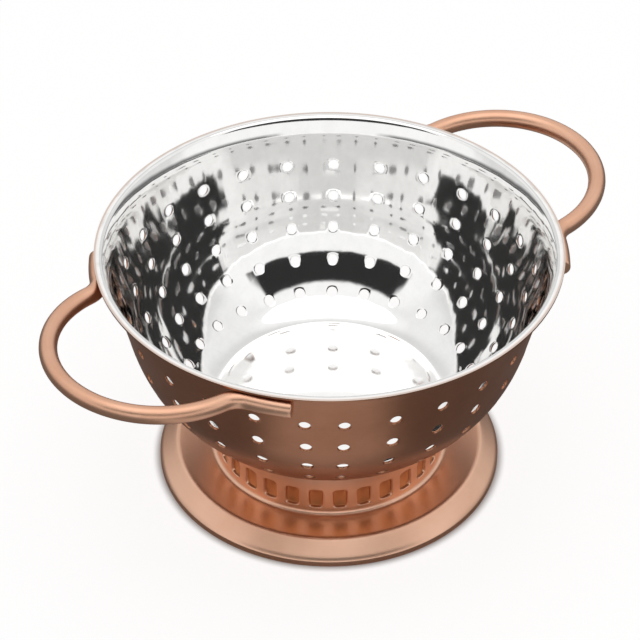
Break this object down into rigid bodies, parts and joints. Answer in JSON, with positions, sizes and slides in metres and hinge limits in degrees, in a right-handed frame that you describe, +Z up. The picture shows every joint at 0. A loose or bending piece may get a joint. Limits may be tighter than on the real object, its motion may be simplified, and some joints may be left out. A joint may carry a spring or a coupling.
{
  "type": "colander",
  "caption": "Footed colander: a round bowl with rows of drain holes and a flared lip, on a fluted, dished pedestal foot, with bent-rod loop handles, for rinsing and draining food.",
  "frame": {"origin": "middle of the foot, on the surface that it stands on", "axes": "+Z up through the middle of the bowl, X along the line of the handles"},
  "size_m": [0.2952, 0.21, 0.1214],
  "materials": {
    "bowl_metal": "satin copper outside, polished steel inside",
    "copper": "satin copper plate",
    "braze": "cleaned braze"
  },
  "bodies": {
    "root": {"bowl": "bowl_metal", "foot": "copper", "handle_right": "copper", "handle_left": "copper", "braze_right_back": "braze", "braze_right_front": "braze", "braze_left_back": "braze", "braze_left_front": "braze", "foot_braze": "braze"}
  },
  "joints": []
}
